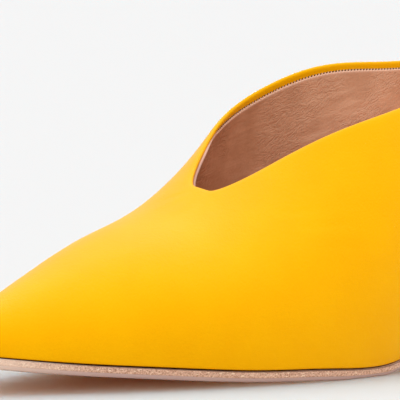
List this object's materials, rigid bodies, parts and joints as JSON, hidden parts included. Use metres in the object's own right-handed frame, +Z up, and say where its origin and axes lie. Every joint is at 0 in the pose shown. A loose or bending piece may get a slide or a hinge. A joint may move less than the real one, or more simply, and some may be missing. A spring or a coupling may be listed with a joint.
{
  "type": "pointed low-back heeled mule",
  "caption": "Slip-on heeled mule: pointed toe, V throat, low folded collar closed round the back, slim covered heel.",
  "frame": {"origin": "on the floor, under the middle of the box around the shoe", "axes": "+Z up, the toe points to -Y and the heel to +Y, the outer (lateral) side of the foot is +X"},
  "size_m": [0.0774, 0.2304, 0.0828],
  "materials": {
    "upper_leather": "smooth yellow nappa, soft satin sheen",
    "lining_leather": "matt dusty pink brown lining leather",
    "sole_leather": "tan sole leather, raw fibrous edge over a smooth pink bevel",
    "stitching": "dark brown thread",
    "top_lift_rubber": "matt dark heel tip"
  },
  "bodies": {
    "root": {"upper": "upper_leather", "outsole": "sole_leather", "insole": "lining_leather", "heel": "upper_leather", "top_lift": "top_lift_rubber"}
  },
  "joints": []
}
